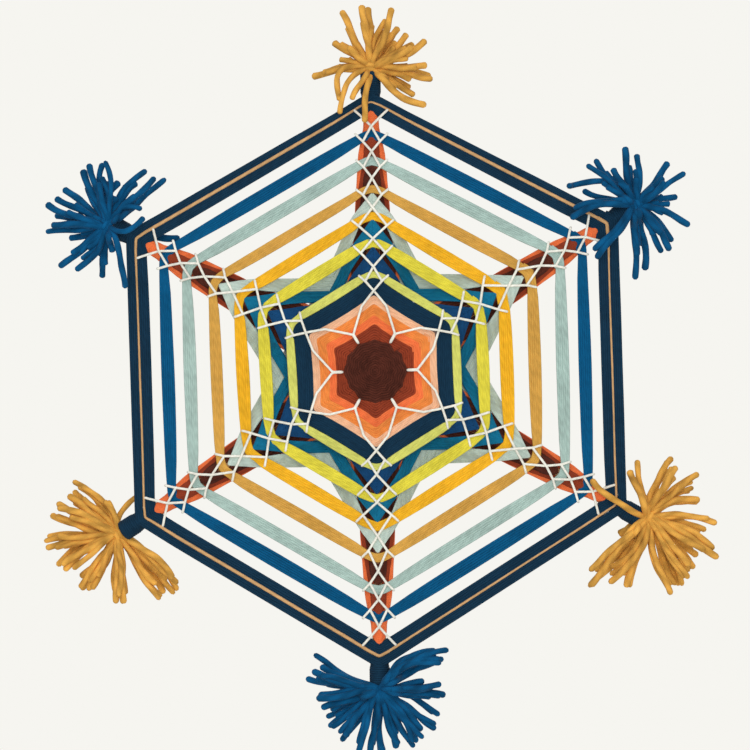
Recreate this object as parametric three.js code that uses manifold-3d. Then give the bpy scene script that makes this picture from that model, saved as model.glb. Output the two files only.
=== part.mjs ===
// Ojo de dios wall ornament: three crossed sticks wound with coloured yarn, laced along the arms and tufted.
// The wall is the plane Y = 0, the front faces -Y and Z is up. Sizes are in millimetres and degrees.
import * as THREE from "three";
import { mergeVertices } from "three/addons/utils/BufferGeometryUtils.js";
import Module from "manifold-3d";

const wasm = await Module();
wasm.setup();
const { Manifold } = wasm;

// Sticks: the crossing angles and each arm's hand-made reach, counted round from the upper right arm.
const STICK_DIAMETER = 6;
const STICK_REACH = 131.5;
const STICK_CHAMFER = 0.6;
const STICK_ANGLES = [32.5, 90.9, 151.0];
const ARM_REACH = [1.006, 0.984, 0.996, 0.989, 1.023, 1.002];

// Yarn and the clear spaces that neighbours keep.
const STRAND = 0.9;
const STRAND_SIDES = 4;
const TURN_GAP = 0.48;
const SEAT = 0.3;
const HUB_EASE = 1.5;
const WALL_ROOM = 0;

// Lacing thread: how far its stitches stand from an arm, and the fork on the eye.
const LACE = 1.2;
const LACE_REACH = 6.6;
const LACE_FORK = 18.5;
const LACE_STEM = 14.5;

// Tufts at the arm ends.
const TUFT_CORE = 4.0;
const TUFT_STRAND = 2.4;
const TUFT_LENGTH = 30;
const TUFT_TILTS = [0.0, 0.35, -0.25, 0.5, 0.15, -0.35];

// What is wound on the arms, from the hub outwards. A hexagon's first corner radius and its band are shares of the
// stick's reach, the band holds as many whole turns as fit, and the hitch counts the arms from one full hitch of the
// last turn to the next. A star or a spindle has its passes over each arm. Each winding is moved out if the one
// before it needs the room.
const WINDINGS = [
  { name: "eye_dark_brown", start: 0.0259, band: 0.0788, hitch: 1, colour: 0x371614 },
  { name: "eye_rust", start: 0.1156, band: 0.0267, hitch: 2, colour: 0x7d321c },
  { name: "eye_coral", start: 0.1536, band: 0.0267, hitch: 2, colour: 0xf06e3c },
  { name: "eye_orange", start: 0.1901, band: 0.0267, hitch: 2, colour: 0xf58c3c },
  { name: "eye_peach", start: 0.2251, band: 0.0267, hitch: 2, colour: 0xf8b291 },
  { name: "eye_navy", start: 0.2601, band: 0.0394, hitch: 1, colour: 0x102a42 },
  { name: "ring_lime", start: 0.3072, band: 0.0394, hitch: 1, colour: 0xd7dc64, laced: true },
  { name: "star_navy", passes: 2, colour: 0x14406b },
  { name: "ring_yellow", start: 0.4076, band: 0.0394, hitch: 1, colour: 0xe2d83c, laced: true },
  { name: "star_teal", passes: 2, colour: 0x0c5c78 },
  { name: "ring_gold", start: 0.4989, band: 0.0394, hitch: 1, colour: 0xf0b223, laced: true },
  { name: "star_sage", passes: 3, colour: 0xa5beb6 },
  { name: "ring_ochre", start: 0.6008, band: 0.0394, hitch: 1, colour: 0xcd963c, laced: true },
  { name: "spindle_brown", passes: 3, colour: 0x371614 },
  { name: "ring_sage", start: 0.6996, band: 0.0527, hitch: 1, colour: 0xa5beb6, laced: true },
  { name: "spindle_rust", passes: 1, colour: 0x7d321c },
  { name: "ring_blue", start: 0.7878, band: 0.0527, hitch: 1, colour: 0x02487d, laced: true },
  { name: "spindle_coral", passes: 1, colour: 0xf06e3c },
  { name: "ring_navy_inner", start: 0.8745, band: 0.0267, hitch: 1, colour: 0x102a42 },
  { name: "ring_tan", start: 0.908, band: 0.0133, hitch: 1, colour: 0xcda06e, laced: true },
  { name: "ring_navy_outer", start: 0.9293, band: 0.0267, hitch: 1, colour: 0x102a42 },
];
const TIP_TURNS = 3;
const TIP_STEPS = 6;
const TIP_COLOUR = 0x102a42;
const LACE_COLOUR = 0xf0ebdc;
const WOOD_COLOUR = 0xb98a5a;

// Each loose end of a tuft: the angle it points to seen from the front, its length and its sideways bow, both as
// percentages of the tuft's length and of its own. A last -1 sends it behind the frame.
const TUFTS = [
  {
    name: "upper_right",
    colour: 0x054b7d,
    ends: [
      [102, 87, 3], [89, 73, -4], [53, 73, 0], [36, 80, -3], [44, 50, 0], [13, 60, 0], [0, 43, 0],
      [340, 77, 5], [317, 67, 5], [306, 80, 5], [297, 77, 3], [278, 93, 4], [270, 107, -2], [230, 90, 0],
      [188, 90, -10], [163, 80, 5], [165, 103, -20], [141, 93, 0], [132, 90, 2], [124, 63, 0],
    ],
  },
  {
    name: "top",
    colour: 0xdaa03c,
    ends: [
      [118, 93, 0], [94, 90, 0], [68, 90, -2], [73, 73, 6], [54, 73, 2], [41, 73, -4], [24, 90, -5],
      [13, 57, 0], [0, 83, 0], [350, 93, 0], [324, 100, -8], [327, 77, 4], [238, 83, -18], [263, 83, 0],
      [187, 87, -3], [227, 67, -40], [144, 67, 0], [165, 47, 0], [241, 57, 0], [84, 60, 0],
    ],
  },
  {
    name: "upper_left",
    colour: 0x054b7d,
    ends: [
      [114, 90, 0], [105, 93, 0], [92, 93, 8], [72, 67, 12], [56, 100, 8], [44, 100, 2], [41, 110, -4],
      [24, 57, 25], [12, 57, -25], [139, 77, 0], [151, 77, 0], [160, 90, 5], [169, 73, 0], [186, 83, 0],
      [196, 60, 10], [222, 90, 0], [237, 70, 9], [262, 70, 0], [286, 97, 8], [281, 40, 0],
    ],
  },
  {
    name: "lower_left",
    colour: 0xdaa03c,
    ends: [
      [131, 93, -8], [142, 82, 0], [153, 93, 0], [163, 97, 3], [182, 100, 0], [188, 100, 0], [205, 93, -8],
      [216, 82, -10], [227, 87, 0], [236, 87, 0], [244, 90, 0], [266, 97, 0], [274, 100, 0], [302, 113, 0],
      [309, 107, 3], [315, 120, 3], [321, 113, 6], [64, 60, 20, -1], [112, 53, -10], [173, 60, 0],
    ],
  },
  {
    name: "bottom",
    colour: 0x054b7d,
    ends: [
      [153, 110, 3], [165, 103, 3], [172, 110, 2], [187, 93, 0], [198, 90, 0], [208, 90, 0], [217, 93, 0],
      [227, 87, 0], [235, 97, 0], [252, 97, -5], [269, 97, 0], [287, 90, 0], [302, 97, 2], [313, 93, 0],
      [326, 100, 0], [335, 97, 9], [355, 97, 0], [6, 90, 0], [25, 103, 5], [30, 115, 14],
    ],
  },
  {
    name: "lower_right",
    colour: 0xdaa03c,
    ends: [
      [102, 83, 0], [112, 73, 0], [66, 93, 6], [39, 97, 4], [28, 80, 10], [17, 80, 8], [355, 100, 3],
      [345, 90, 3], [335, 104, 0], [330, 117, 2], [320, 97, 0], [311, 102, 0], [298, 117, 2], [286, 120, -3],
      [254, 110, 0], [239, 113, 15], [232, 120, 5], [227, 127, 0], [207, 47, 0], [146, 100, 10],
    ],
  },
];

// Sizes that follow from those above.
const ARMS = 2 * STICK_ANGLES.length;
const SLOPE = Math.tan(Math.PI / 6);
const stickRadius = STICK_DIAMETER / 2;
const strandRadius = STRAND / 2;
const pitch = STRAND + TURN_GAP;
const cornerPitch = pitch / Math.cos(Math.PI / 6);
const cornerTip = strandRadius / Math.cos(Math.PI / 6);
const frontLevel = stickRadius + SEAT + strandRadius;
const levelStep = STRAND + SEAT + 0.1;
const starLevels = [-(frontLevel + levelStep), -(frontLevel + 2 * levelStep)];
const spindleLevels = [3, 4, 5].map((step) => -(frontLevel + step * levelStep));
const backLevel = spindleLevels[2] - strandRadius;
const wallLevel = backLevel - WALL_ROOM;
const laceLevel = frontLevel + strandRadius + SEAT + LACE / 2;
const laceOver = laceLevel + LACE + SEAT;
const sideRoom = frontLevel + pitch;
const FRONT = new THREE.Vector3(0, -1, 0);

const armAngles = [...STICK_ANGLES, ...STICK_ANGLES.map((angle) => angle + 180)].map(THREE.MathUtils.degToRad);
const wrapIndex = (arm) => ((arm % ARMS) + ARMS) % ARMS;

function planePoint(angle, radius, lateral, depth) {
  const out = new THREE.Vector3(Math.cos(angle), 0, Math.sin(angle));
  const side = new THREE.Vector3(-Math.sin(angle), 0, Math.cos(angle));
  return out.multiplyScalar(radius).addScaledVector(side, lateral).addScaledVector(FRONT, depth);
}

// A point beside an arm: along it from the hub, across it counter-clockwise, and towards the viewer.
function armPoint(arm, radius, lateral, depth) {
  const k = wrapIndex(arm);
  return planePoint(armAngles[k], radius * ARM_REACH[k], lateral, depth);
}

// All turns grow outwards by one pitch in a round, so each arm's passes are set out by its share of it.
const armShift = (arm) => (cornerPitch * wrapIndex(arm)) / ARMS;

function sectorPoint(sector, radius, lateral, depth) {
  const first = armAngles[sector];
  const next = armAngles[wrapIndex(sector + 1)] + (sector === ARMS - 1 ? 2 * Math.PI : 0);
  return planePoint((first + next) / 2, radius, lateral, depth);
}

// A closed tube along straight runs with mitred bends.
function tubeGeometry(points, radius, sides) {
  const runs = points.slice(1).map((point, i) => point.clone().sub(points[i]).normalize());
  const across = new THREE.Vector3().crossVectors(runs[0], Math.abs(runs[0].y) > 0.9
    ? new THREE.Vector3(1, 0, 0)
    : FRONT).normalize();
  let section = Array.from({ length: sides }, (_, i) =>
    across.clone().applyAxisAngle(runs[0], (2 * Math.PI * i) / sides).multiplyScalar(radius));
  const corners = [];
  points.forEach((point, i) => {
    const before = runs[Math.max(i - 1, 0)];
    const after = runs[Math.min(i, runs.length - 1)];
    const mitre = before.clone().add(after).normalize();
    section.forEach((offset) => {
      const slide = -offset.dot(mitre) / before.dot(mitre);
      corners.push(point.clone().add(offset).addScaledVector(before, slide));
    });
    const bend = new THREE.Quaternion().setFromUnitVectors(before, after);
    section = section.map((offset) => offset.clone().applyQuaternion(bend));
  });
  const faces = [];
  for (let i = 0; i < points.length - 1; i += 1) {
    for (let j = 0; j < sides; j += 1) {
      const a = i * sides + j;
      const b = i * sides + ((j + 1) % sides);
      faces.push(a, b, b + sides, a, b + sides, a + sides);
    }
  }
  const last = (points.length - 1) * sides;
  for (let j = 1; j < sides - 1; j += 1) {
    faces.push(0, j + 1, j, last, last + j, last + j + 1);
  }
  const geometry = new THREE.BufferGeometry().setFromPoints(corners);
  geometry.setIndex(faces);
  return geometry;
}

// The least clear space of a tube to itself, on points along it that are more than a few strands apart by the way.
function leastGap(points, radius) {
  const step = radius;
  const apart = Math.ceil((8 * radius) / step);
  const samples = [];
  for (let i = 0; i < points.length - 1; i += 1) {
    const count = Math.max(1, Math.round(points[i].distanceTo(points[i + 1]) / step));
    for (let j = 0; j < count; j += 1) samples.push(points[i].clone().lerp(points[i + 1], j / count));
  }
  let least = Infinity;
  for (let i = 0; i < samples.length; i += 1) {
    for (let j = i + apart; j < samples.length; j += 1) {
      least = Math.min(least, samples[i].distanceToSquared(samples[j]));
    }
  }
  return Math.sqrt(least) - 2 * radius;
}

const group = new THREE.Group();
const plane = new THREE.Group();
plane.position.y = wallLevel;
group.add(plane);

function addMesh(name, geometry, colour, roughness = 0.9) {
  const flat = geometry.index ? geometry.toNonIndexed() : geometry;
  flat.computeVertexNormals();
  const material = new THREE.MeshStandardMaterial({ color: colour, roughness, metalness: 0 });
  const mesh = new THREE.Mesh(flat, material);
  mesh.name = name;
  plane.add(mesh);
}

function addWinding(name, points, colour, diameter = STRAND, sides = STRAND_SIDES) {
  addMesh(name, tubeGeometry(points, diameter / 2, sides), colour);
  console.log(`${name}: least gap to itself ${leastGap(points, diameter / 2).toFixed(2)} mm`);
}

function solidFrom(geometry) {
  const bare = geometry.clone();
  bare.deleteAttribute("normal");
  bare.deleteAttribute("uv");
  const merged = mergeVertices(bare, 1e-4);
  return new Manifold(new wasm.Mesh({
    numProp: 3,
    vertProperties: new Float32Array(merged.attributes.position.array),
    triVerts: new Uint32Array(merged.index.array),
  }));
}

function geometryFrom(solid) {
  const mesh = solid.getMesh();
  const geometry = new THREE.BufferGeometry();
  geometry.setAttribute("position", new THREE.BufferAttribute(mesh.vertProperties, 3));
  geometry.setIndex(new THREE.BufferAttribute(mesh.triVerts, 1));
  return geometry;
}

// Where a straight run between two points of the plane stands beside an arm, at a distance across the arm.
function besideArm(arm, from, to, lateral) {
  const k = wrapIndex(arm);
  const out = planePoint(armAngles[k], 1, 0, 0);
  const side = planePoint(armAngles[k], 0, 1, 0);
  const share = (lateral - from.dot(side)) / (to.dot(side) - from.dot(side));
  return from.clone().lerp(to, share).dot(out) / ARM_REACH[k];
}

// A hexagon passes in a chevron over the front of each arm, and its last turn also goes once right round the arm,
// one pitch outside the turn before it and inside its own next run.
function hexagonPoints(start, band, hitch) {
  const turns = Math.max(1, Math.floor(band / cornerPitch));
  const corner = (count, depth = frontLevel) => armPoint(count, start + (cornerPitch * count) / ARMS, 0, depth);
  const points = [];
  let outer = start;
  for (let count = 0; count < turns * ARMS; count += 1) {
    points.push(corner(count));
    if (count >= (turns - 1) * ARMS && count % hitch === 0) {
      const radius = start + (cornerPitch * count) / ARMS;
      const room = cornerPitch * (1 + HUB_EASE / radius);
      const inside = besideArm(count, corner(count - ARMS), corner(count - ARMS + 1), frontLevel);
      const across = besideArm(count, corner(count), corner(count + 1), frontLevel) - radius;
      const far = Math.min(inside + room, radius + across);
      const share = frontLevel / corner(count + 1).dot(planePoint(armAngles[count % ARMS], 0, 1, 0));
      const ahead = besideArm(count, corner(count), corner(count + 1), frontLevel / share);
      const next = (far + room - ahead * share) / (1 - share);
      const before = points.length > 1 ? points[points.length - 2] : corner(count - 1);
      const near = besideArm(count, before, corner(count), -frontLevel) + room;
      points.push(
        armPoint(count, far, frontLevel, frontLevel),
        armPoint(count, (2 * far + near) / 3, frontLevel, -frontLevel),
        armPoint(count, (far + 2 * near) / 3, -frontLevel, -frontLevel),
        armPoint(count, near, -frontLevel, frontLevel),
        armPoint(count, next, 0, frontLevel),
      );
      outer = Math.max(outer, next - armShift(count));
    }
  }
  const end = besideArm(0, points[points.length - 1], corner(turns * ARMS), -sideRoom);
  points.push(armPoint(0, end, -sideRoom, frontLevel));
  return { points, outer, middle: start + (turns * cornerPitch) / 2 };
}

// A star triangle passes straight over its own three arms and behind the arms between them.
function starPoints(first, start, passes, level) {
  const points = [];
  for (let pass = 0; pass < passes; pass += 1) {
    const reach = sideRoom + SEAT + (pass * pitch * 0.5) / Math.cos(Math.PI / 6) + 0.2;
    for (const arm of [first, first + 2, first + 4]) {
      const radius = start + armShift(arm) + pass * pitch;
      points.push(
        armPoint(arm, radius - 1, -reach, level),
        armPoint(arm, radius, -stickRadius, frontLevel),
        armPoint(arm, radius, stickRadius, frontLevel),
        armPoint(arm, radius - 1, reach, level),
      );
    }
  }
  return points;
}

// A spindle runs along both sides of one stick, behind the other two, and over the front of its ends.
function spindlePoints(stick, start, passes, lane, dive) {
  const level = spindleLevels[stick];
  const lateral = sideRoom + SEAT + lane * (STRAND + SEAT + 0.1);
  const points = [armPoint(stick, 1.5, -lateral, level)];
  for (const arm of [stick, stick + 3]) {
    const radius = start + armShift(arm);
    const last = radius + (passes - 1) * pitch;
    points.push(
      armPoint(arm, dive + armShift(arm), -lateral, level),
      armPoint(arm, radius, -sideRoom, 0),
      armPoint(arm, radius, -frontLevel, frontLevel),
      armPoint(arm, radius, frontLevel, frontLevel),
    );
    for (let pass = 1; pass < passes; pass += 1) {
      const back = radius + (pass - 0.5) * pitch;
      points.push(
        armPoint(arm, back, frontLevel, -frontLevel),
        armPoint(arm, back, -frontLevel, -frontLevel),
        armPoint(arm, radius + pass * pitch, -frontLevel, frontLevel),
        armPoint(arm, radius + pass * pitch, frontLevel, frontLevel),
      );
    }
    points.push(
      armPoint(arm, last, sideRoom, 0),
      armPoint(arm, dive + armShift(arm), lateral, level),
    );
  }
  points.push(armPoint(stick, -1.5, -lateral, level));
  return points;
}

// The windings go on one after another along the arms. What crosses an arm straight leaves room for the
// chevron that comes next.
let wound = 0;
let crossed = false;
let starEnd = 0;
let lane = 0;
const rings = [];
for (const item of WINDINGS) {
  if (item.band) {
    const flank = crossed ? SLOPE * (frontLevel + strandRadius) + strandRadius : 0;
    const first = Math.max(item.start * STICK_REACH, wound + SEAT + cornerTip + flank);
    const hexagon = hexagonPoints(first, item.band * STICK_REACH, item.hitch);
    addWinding(item.name, hexagon.points, item.colour);
    wound = hexagon.outer + cornerTip;
    crossed = false;
    if (item.laced) rings.push({ middle: hexagon.middle, outer: wound });
  } else {
    const first = wound + SEAT + strandRadius;
    wound = first + (item.passes - 1) * pitch + strandRadius;
    crossed = true;
    if (item.name.startsWith("star")) {
      starEnd = wound;
      addWinding(`${item.name}_a`, starPoints(1, first, item.passes, starLevels[0]), item.colour);
      addWinding(`${item.name}_b`, starPoints(0, first, item.passes, starLevels[1]), item.colour);
    } else {
      const dive = starEnd + 2 * STRAND;
      ["rising", "upright", "falling"].forEach((way, stick) => {
        addWinding(`${item.name}_${way}`, spindlePoints(stick, first, item.passes, lane, dive), item.colour);
      });
      lane += 1;
    }
  }
}

// A short helix of yarn closes each arm beyond the last ring.
function tipPoints(arm, start) {
  const corner = frontLevel / Math.cos(Math.PI / TIP_STEPS);
  return Array.from({ length: TIP_TURNS * TIP_STEPS + 1 }, (_, i) => {
    const angle = (2 * Math.PI * (i + 0.5)) / TIP_STEPS;
    const radius = start + armShift(arm) + (pitch * i) / TIP_STEPS;
    return armPoint(arm, radius, corner * Math.sin(angle), corner * Math.cos(angle));
  });
}

const tipStart = wound + SEAT + strandRadius;
const stickReach = Math.max(STICK_REACH, tipStart + TIP_TURNS * pitch);
const armEnd = (arm) => (stickReach + armShift(arm)) * ARM_REACH[wrapIndex(arm)];

// Each stick keeps one third of its thickness at the hub, so that all three lie in one plane.
function stickGeometry(stick) {
  const far = armEnd(stick);
  const near = -armEnd(stick + 3);
  const profile = [
    [0, near],
    [stickRadius - STICK_CHAMFER, near],
    [stickRadius, near + STICK_CHAMFER],
    [stickRadius, far - STICK_CHAMFER],
    [stickRadius - STICK_CHAMFER, far],
    [0, far],
  ].map(([x, y]) => new THREE.Vector2(x, y));
  const whole = solidFrom(new THREE.LatheGeometry(profile, 20));
  const crossing = THREE.MathUtils.degToRad(57);
  const notch = 2 * ((stickRadius * (1 + Math.cos(crossing))) / Math.sin(crossing) + SEAT);
  const third = STICK_DIAMETER / 3;
  const low = -stickRadius + stick * third + (stick > 0 ? SEAT / 2 : -1);
  const high = -stickRadius + (stick + 1) * third + (stick < 2 ? -SEAT / 2 : 1);
  const wide = STICK_DIAMETER * 2;
  const above = Manifold.cube([wide, notch, wide], true).translate([0, 0, high + wide / 2]);
  const below = Manifold.cube([wide, notch, wide], true).translate([0, 0, low - wide / 2]);
  const geometry = geometryFrom(whole.subtract(above).subtract(below));
  geometry.rotateX(Math.PI / 2);
  geometry.rotateY(Math.PI / 2 - armAngles[stick]);
  return geometry;
}

["stick_rising", "stick_upright", "stick_falling"].forEach((name, stick) => {
  addMesh(name, stickGeometry(stick), WOOD_COLOUR, 0.7);
});

const armNames = TUFTS.map((tuft) => tuft.name);
armNames.forEach((name, arm) => {
  addWinding(`tip_wrap_${name}`, tipPoints(arm, tipStart), TIP_COLOUR);
});

// One lacing thread serves each sector. It zigzags in along one arm, forks over the eye and zigzags out along the
// next, above its neighbour's thread on the first arm and below it on the second.
function lacePoints(sector) {
  const along = (arm, side, over) => {
    const first = rings[0].middle + armShift(arm) - SLOPE * LACE_REACH - pitch;
    const points = [armPoint(arm, first, 0, over ? laceOver : laceLevel)];
    let turn = -side;
    rings.forEach((ring, i) => {
      const stitch = ring.middle + armShift(arm) - SLOPE * LACE_REACH;
      points.push(armPoint(arm, stitch, turn * LACE_REACH, laceLevel));
      if (i < rings.length - 1) {
        const next = rings[i + 1].middle + armShift(arm) - SLOPE * LACE_REACH;
        points.push(armPoint(arm, (stitch + next) / 2, 0, over ? laceOver : laceLevel));
      }
      turn = -turn;
    });
    return points;
  };
  const half = LACE / 2 + TURN_GAP / 2;
  return [
    ...along(sector, 1, true).reverse(),
    sectorPoint(sector, LACE_FORK, -half, laceLevel),
    sectorPoint(sector, LACE_STEM, -half, laceLevel),
    sectorPoint(sector, LACE_STEM, half, laceLevel),
    sectorPoint(sector, LACE_FORK, half, laceLevel),
    ...along(sector + 1, -1, false),
  ];
}

armNames.forEach((name, sector) => {
  addWinding(`lace_${name}`, lacePoints(sector), LACE_COLOUR, LACE);
});

// A tuft is a knot with loose yarn ends. An end that points back over its arm is lifted clear of the yarn there.
function tuftGeometry(arm) {
  const out = planePoint(armAngles[arm], 1, 0, 0);
  const middle = out.clone().multiplyScalar(armEnd(arm) + SEAT + TUFT_CORE);
  const knot = new THREE.IcosahedronGeometry(TUFT_CORE, 1);
  knot.translate(middle.x, middle.y, middle.z);
  const solids = [solidFrom(knot)];
  const lowest = wallLevel + TUFT_STRAND;
  const over = laceOver + LACE / 2 + SEAT + TUFT_STRAND / 2;
  const under = -(frontLevel + STRAND + SEAT + TUFT_STRAND / 2);
  TUFTS[arm].ends.forEach(([degrees, reach, bow, way = 1], i) => {
    const angle = THREE.MathUtils.degToRad(degrees);
    const aim = planePoint(angle, 1, 0, 0);
    const side = planePoint(angle, 0, 1, 0);
    const length = (TUFT_LENGTH * reach) / 100;
    const back = aim.dot(out) < 0.1;
    const level = way > 0 ? over : under;
    const points = [0.02, 0.4, 0.72, 1].map((share) => {
      const tilt = TUFT_TILTS[i % TUFT_TILTS.length] * share * length;
      const depth = back ? level + way * 0.1 * Math.abs(tilt) : Math.max(tilt, lowest);
      return middle.clone()
        .addScaledVector(aim, share * length)
        .addScaledVector(side, (4 * share * (1 - share) * length * bow) / 100)
        .addScaledVector(FRONT, depth);
    });
    if (back) {
      points[0] = middle.clone().addScaledVector(out, TUFT_CORE / 2).addScaledVector(FRONT, level);
      points.unshift(middle.clone());
    }
    solids.push(solidFrom(tubeGeometry(points, TUFT_STRAND / 2, 4)));
  });
  return geometryFrom(Manifold.union(solids));
}

TUFTS.forEach((tuft, arm) => {
  addMesh(`tuft_${tuft.name}`, tuftGeometry(arm), tuft.colour);
});

export default group;
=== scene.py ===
import math
import random

import bpy
import numpy as np
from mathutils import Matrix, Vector


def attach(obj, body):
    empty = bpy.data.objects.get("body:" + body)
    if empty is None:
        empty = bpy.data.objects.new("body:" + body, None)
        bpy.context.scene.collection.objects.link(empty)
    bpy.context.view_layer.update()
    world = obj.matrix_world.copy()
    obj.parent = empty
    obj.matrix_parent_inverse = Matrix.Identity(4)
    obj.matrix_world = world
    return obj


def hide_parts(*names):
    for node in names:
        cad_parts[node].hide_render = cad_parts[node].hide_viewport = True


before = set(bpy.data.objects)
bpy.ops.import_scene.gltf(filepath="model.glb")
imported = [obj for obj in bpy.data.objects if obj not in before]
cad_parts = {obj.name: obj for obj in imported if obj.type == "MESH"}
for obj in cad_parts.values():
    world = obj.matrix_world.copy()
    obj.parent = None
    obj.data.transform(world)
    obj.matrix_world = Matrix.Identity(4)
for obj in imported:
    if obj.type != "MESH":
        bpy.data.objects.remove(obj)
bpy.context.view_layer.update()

chance = random.Random(11)

# Sizes are in millimetres and degrees. A point beside an arm is given along the arm, across it
# counter-clockwise and towards the viewer from the plane of the sticks, which is its depth.
MM = 0.001
STICK_PLANE = -10.7
STICK_RADIUS = 3.1
STICKS = ["rising", "upright", "falling"]
ARMS = ["upper_right", "top", "upper_left", "lower_left", "bottom", "lower_right"]
ANGLES = [32.5, 90.9, 151.0, 212.5, 270.9, 331.0]
ARM_COUNT = len(ARMS)

# The windings lie off their even places, arm by arm. These are factors on the radius: near the eye,
# over the middle rings, under the rim and at the outer edge.
REACH_RADII = (62.0, 88.0, 104.0, 116.0, 127.0)
INNER_REACH = [0.970, 1.030, 1.015, 0.977, 1.020, 0.988]
REACH = [1.006, 0.984, 0.996, 0.989, 1.023, 1.002]
OUTER_REACH = [0.997, 0.985, 0.991, 0.988, 1.034, 0.998]
EDGE_REACH = [0.997, 0.968, 0.991, 0.988, 1.034, 0.998]

# The side of a hexagon leaves its arm at 60 degrees, and the leg of a triangle leaves it at 30 degrees.
SLOPE = math.tan(math.pi / 6)
COSINE = math.cos(math.pi / 6)
SINE = 0.5
LEG_SLOPE = 1.732

# The thickness of the wound yarn, and the depth at which it lies on the fronts of the sticks.
YARN = 1.2
FRONT = 3.7

# The sides of a tube, for wound yarn and for the lacing and the tufts.
SIDES = 7
ROUND_SIDES = 8
# Points of a path that are closer than this are one point.
SHORTEST_RUN = 1e-5
TINY = 1e-9

# Colours as they look under plain white light, except the star's sage, which is the sage yarn with painted
# light.
COLOURS = {
    "dark_brown": (0x4E, 0x25, 0x1B),
    "rust": (0x90, 0x3C, 0x24),
    "coral": (0xF6, 0x78, 0x44),
    "orange": (0xEC, 0x8C, 0x44),
    "peach": (0xF0, 0xBA, 0x94),
    "navy": (0x11, 0x32, 0x49),
    "star_navy": (0x13, 0x45, 0x72),
    "teal": (0x12, 0x70, 0x94),
    "sage": (0xAA, 0xC2, 0xBA),
    # The sage yarn painted lighter: painted light for the star's legs, which lie in the shade of the rings.
    "star_sage": (0xC2, 0xD4, 0xCA),
    "lime": (0xD4, 0xD5, 0x6C),
    "yellow": (0xE0, 0xD4, 0x46),
    "gold": (0xF2, 0xB6, 0x28),
    "ochre": (0xD4, 0xA2, 0x4C),
    "blue": (0x03, 0x55, 0x81),
    "tan": (0xD0, 0xA4, 0x72),
    "lace": (0xF4, 0xF0, 0xE4),
    "tuft_blue": (0x05, 0x4E, 0x79),
    "tuft_gold": (0xD6, 0x9F, 0x48),
    "wood": (0xB9, 0x8A, 0x5A),
}
BACKGROUND = (246, 245, 240)
FLOOR_COLOUR = (238, 237, 232)
WHITE = (1.0, 1.0, 1.0, 1.0)

# Each kind of yarn: its plies, the length of one turn of its twist, and the factors between which its tone
# varies.
TWISTS = {
    "lace": (2, 1.6, 0.74, 1.16),
    "dark_brown": (2, 2.6, 0.55, 1.45),
    "tuft_blue": (3, 4.5, 0.48, 1.46),
    "tuft_gold": (3, 4.5, 0.48, 1.46),
}
PLAIN_TWIST = (2, 2.6, 0.74, 1.16)


def linear(value):
    """The light that a colour's byte stands for."""
    value = value / 255.0
    return value / 12.92 if value <= 0.04045 else ((value + 0.055) / 1.055) ** 2.4


def rgba(colour, factor=1.0):
    return tuple(min(1.0, linear(c) * factor) for c in colour) + (1.0,)


# Materials.
def start_material(name, roughness):
    material = bpy.data.materials.new(name)
    material.use_nodes = True
    tree = material.node_tree
    shader = tree.nodes["Principled BSDF"]
    shader.inputs["Roughness"].default_value = roughness
    return material, tree, shader


def add_mapping(tree, vector, scale):
    mapping = tree.nodes.new("ShaderNodeMapping")
    mapping.inputs["Scale"].default_value = scale
    tree.links.new(vector, mapping.inputs["Vector"])
    return mapping.outputs["Vector"]


def add_noise(tree, vector, scale, detail):
    noise = tree.nodes.new("ShaderNodeTexNoise")
    noise.inputs["Scale"].default_value = scale
    noise.inputs["Detail"].default_value = detail
    tree.links.new(vector, noise.inputs["Vector"])
    return noise.outputs["Fac"]


def add_mix(tree, first, second, share):
    mix = tree.nodes.new("ShaderNodeMixRGB")
    mix.blend_type = "MIX"
    mix.inputs["Fac"].default_value = share
    tree.links.new(first, mix.inputs["Color1"])
    tree.links.new(second, mix.inputs["Color2"])
    return mix.outputs["Color"]


def add_ramp(tree, value, *stops):
    """Each stop is a position and the colour there."""
    ramp = tree.nodes.new("ShaderNodeValToRGB")
    for i, (position, colour) in enumerate(stops):
        ramp.color_ramp.elements[i].position = position
        ramp.color_ramp.elements[i].color = colour
    tree.links.new(value, ramp.inputs["Fac"])
    return ramp.outputs["Color"]


def add_bump(tree, height, strength, distance, under=None):
    bump = tree.nodes.new("ShaderNodeBump")
    bump.inputs["Strength"].default_value = strength
    bump.inputs["Distance"].default_value = distance
    tree.links.new(height, bump.inputs["Height"])
    if under is not None:
        tree.links.new(under, bump.inputs["Normal"])
    return bump.outputs["Normal"]


def add_plies(tree, strand, plies, turn):
    """Slanted bands from the strand's own coordinate."""
    wave = tree.nodes.new("ShaderNodeTexWave")
    wave.wave_type = "BANDS"
    wave.bands_direction = "DIAGONAL"
    wave.wave_profile = "SIN"
    wave.inputs["Scale"].default_value = 1.0 / math.pi
    wave.inputs["Distortion"].default_value = 0.6
    wave.inputs["Detail"].default_value = 1.0
    tree.links.new(add_mapping(tree, strand, (1.0 / turn, plies, 1.0)), wave.inputs["Vector"])
    return wave.outputs["Fac"]


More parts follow.
